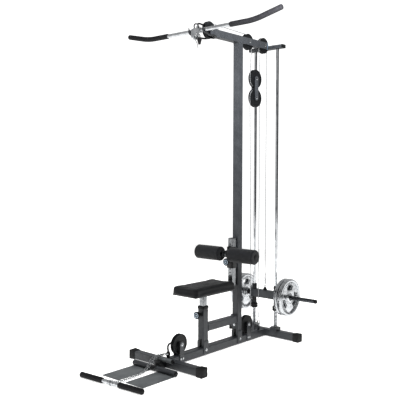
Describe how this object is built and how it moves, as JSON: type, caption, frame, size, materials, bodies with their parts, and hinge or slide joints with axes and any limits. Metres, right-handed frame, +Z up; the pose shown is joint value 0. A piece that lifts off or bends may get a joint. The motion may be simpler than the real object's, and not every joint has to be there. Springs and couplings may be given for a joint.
{
  "type": "lat pulldown machine",
  "caption": "Plate-loaded cable tower with a high pulldown bar, a low row bar, a height-adjustable seat with thigh rollers, and hinged footplates.",
  "frame": {"origin": "on the floor, at the middle of the machine's bounding box in plan", "axes": "+Z up the upright, +X to the right of a user who sits on the pad, -Y towards the front, where the footplates and row bar lie"},
  "size_m": [1.325, 1.7004, 2.235],
  "materials": {
    "frame_paint": "textured powder coat, anthracite grey",
    "black_paint": "satin black powder coat",
    "chrome": "bright chrome plating",
    "zinc": "bright zinc plating",
    "rubber": "matt moulded rubber",
    "nylon": "moulded black nylon",
    "vinyl": "fine-grained black upholstery vinyl",
    "foam": "closed-cell foam with a fine skin",
    "cable": "steel cable in clear grey nylon",
    "footplate_paint": "textured grey powder coat"
  },
  "bodies": {
    "frame": {"front_foot": "frame_paint", "rear_foot": "frame_paint", "base_beam": "frame_paint", "upright": "frame_paint", "top_boom": "frame_paint", "top_crossmember": "frame_paint", "seat_post": "frame_paint", "seat_brace": "frame_paint", "foot_cap_front_left": "rubber", "foot_cap_front_right": "rubber", "foot_cap_rear_left": "rubber", "foot_cap_rear_right": "rubber", "guide_rod_left": "chrome", "guide_rod_right": "chrome", "spring_left": "chrome", "spring_right": "chrome", "bar_hooks": "black_paint", "low_front_bracket": "frame_paint", "low_rear_bracket": "frame_paint", "top_middle_axle": "zinc", "top_rear_axle": "zinc", "roller_post": "chrome", "footplate_bracket": "black_paint", "lat_cable_front": "cable", "lat_cable_loop": "cable", "lat_cable_rear": "cable", "low_cable_front": "cable", "low_cable_loop": "cable"},
    "carriage": {"weight_carriage": "black_paint", "bumper_left": "rubber", "bumper_right": "rubber"},
    "plate_left_inner": {"weight_plate_left_inner": "chrome"},
    "plate_left_outer": {"weight_plate_left_outer": "chrome"},
    "plate_right_inner": {"weight_plate_right_inner": "chrome"},
    "plate_right_outer": {"weight_plate_right_outer": "chrome"},
    "seat": {"seat_carrier": "chrome", "seat_pad": "vinyl"},
    "seat_knob": {"seat_knob": "nylon"},
    "roller_holder": {"roller_carrier": "black_paint"},
    "roller_left": {"foam_roller_left": "foam"},
    "roller_right": {"foam_roller_right": "foam"},
    "roller_knob": {"roller_knob": "nylon"},
    "lat_bar": {"lat_bar": "chrome", "lat_grip_left": "rubber", "lat_grip_right": "rubber", "lat_swivel": "zinc"},
    "row_bar": {"row_bar": "chrome", "row_grip_left": "rubber", "row_grip_right": "rubber", "row_chain": "zinc"},
    "block": {"block_cheeks": "black_paint"},
    "block_upper": {"block_upper_pulley": "nylon"},
    "block_lower": {"block_lower_pulley": "nylon"},
    "front_wheel": {"top_front_pulley": "nylon"},
    "middle_wheel": {"top_middle_pulley": "nylon"},
    "rear_wheel": {"top_rear_pulley": "nylon"},
    "low_front_wheel": {"low_front_pulley": "nylon"},
    "low_rear_wheel": {"low_rear_pulley": "nylon"},
    "footplate_left": {"footplate_left": "footplate_paint"},
    "footplate_right": {"footplate_right": "footplate_paint"}
  },
  "joints": [
    {"name": "carriage_lift", "type": "slide", "parent": "frame", "child": "carriage", "axis": [0, 0, 1], "range_m": [0, 1.15], "deforming": ["lat_cable_rear"]},
    {"name": "lat_pull", "type": "slide", "parent": "frame", "child": "lat_bar", "axis": [0, 0, -1], "range_m": [0, 1.15], "deforming": ["lat_cable_front"]},
    {"name": "row_pull", "type": "slide", "parent": "frame", "child": "row_bar", "axis": [0, -0.8192, 0.5736], "range_m": [0, 0.8], "deforming": ["low_cable_front"]},
    {"name": "block_drop", "type": "slide", "parent": "frame", "child": "block", "axis": [0, 0, -1], "range_m": [0, 0.41], "deforming": ["lat_cable_loop", "low_cable_loop"]},
    {"name": "plate_left_inner_slide", "type": "slide", "parent": "carriage", "child": "plate_left_inner", "axis": [-1, 0, 0], "range_m": [0, 0.1]},
    {"name": "plate_left_outer_slide", "type": "slide", "parent": "plate_left_inner", "child": "plate_left_outer", "axis": [-1, 0, 0], "range_m": [0, 0.11]},
    {"name": "plate_right_inner_slide", "type": "slide", "parent": "carriage", "child": "plate_right_inner", "axis": [1, 0, 0], "range_m": [0, 0.1]},
    {"name": "plate_right_outer_slide", "type": "slide", "parent": "plate_right_inner", "child": "plate_right_outer", "axis": [1, 0, 0], "range_m": [0, 0.11]},
    {"name": "seat_height", "type": "slide", "parent": "frame", "child": "seat", "axis": [0, 0, 1], "range_m": [-0.075, 0.1]},
    {"name": "seat_knob_pull", "type": "slide", "parent": "frame", "child": "seat_knob", "axis": [0, -1, 0], "range_m": [0, 0.01], "stiffness_N_per_m": 500},
    {"name": "roller_height", "type": "slide", "parent": "frame", "child": "roller_holder", "axis": [0, 0, 1], "range_m": [-0.075, 0.045]},
    {"name": "roller_knob_pull", "type": "slide", "parent": "roller_holder", "child": "roller_knob", "axis": [0, -1, 0], "range_m": [0, 0.01], "stiffness_N_per_m": 500},
    {"name": "roller_left_spin", "type": "hinge", "parent": "roller_holder", "child": "roller_left", "pos_m": [-0.148, 0.2392, 0.661], "axis": [1, 0, 0], "continuous": true},
    {"name": "roller_right_spin", "type": "hinge", "parent": "roller_holder", "child": "roller_right", "pos_m": [0.148, 0.2392, 0.661], "axis": [1, 0, 0], "continuous": true},
    {"name": "footplate_left_fold", "type": "hinge", "parent": "frame", "child": "footplate_left", "pos_m": [-0.1, -0.4608, 0.0195], "axis": [-1, 0, 0], "range_deg": [0, 85]},
    {"name": "footplate_right_fold", "type": "hinge", "parent": "frame", "child": "footplate_right", "pos_m": [0.1, -0.4608, 0.0195], "axis": [-1, 0, 0], "range_deg": [0, 85]},
    {"name": "top_front_spin", "type": "hinge", "parent": "frame", "child": "front_wheel", "pos_m": [0, 0.0492, 2.178], "axis": [1, 0, 0], "continuous": true},
    {"name": "top_middle_spin", "type": "hinge", "parent": "frame", "child": "middle_wheel", "pos_m": [0, 0.4762, 2.165], "axis": [1, 0, 0], "continuous": true},
    {"name": "top_rear_spin", "type": "hinge", "parent": "frame", "child": "rear_wheel", "pos_m": [0, 0.6627, 2.165], "axis": [1, 0, 0], "continuous": true},
    {"name": "block_upper_spin", "type": "hinge", "parent": "block", "child": "block_upper", "pos_m": [0, 0.56945, 1.9125], "axis": [1, 0, 0], "continuous": true},
    {"name": "block_lower_spin", "type": "hinge", "parent": "block", "child": "block_lower", "pos_m": [0, 0.56945, 1.7745], "axis": [1, 0, 0], "continuous": true},
    {"name": "low_front_spin", "type": "hinge", "parent": "frame", "child": "low_front_wheel", "pos_m": [0, -0.2408, 0.126], "axis": [1, 0, 0], "continuous": true},
    {"name": "low_rear_spin", "type": "hinge", "parent": "frame", "child": "low_rear_wheel", "pos_m": [0, 0.4742, 0.126], "axis": [1, 0, 0], "continuous": true}
  ],
  "couplings": [
    {"joint": "lat_pull", "follows": "carriage_lift", "ratio": 1},
    {"joint": "block_drop", "follows": "row_pull", "ratio": 0.5},
    {"joint": "top_front_spin", "follows": "carriage_lift", "rad_per_m": 19.802},
    {"joint": "top_middle_spin", "follows": "carriage_lift", "rad_per_m": 19.802},
    {"joint": "top_rear_spin", "follows": "carriage_lift", "rad_per_m": 19.802},
    {"joint": "block_upper_spin", "follows": "carriage_lift", "rad_per_m": -16.667},
    {"joint": "block_lower_spin", "follows": "row_pull", "rad_per_m": 8.3333},
    {"joint": "low_front_spin", "follows": "row_pull", "rad_per_m": -16.667},
    {"joint": "low_rear_spin", "follows": "row_pull", "rad_per_m": -16.667}
  ]
}
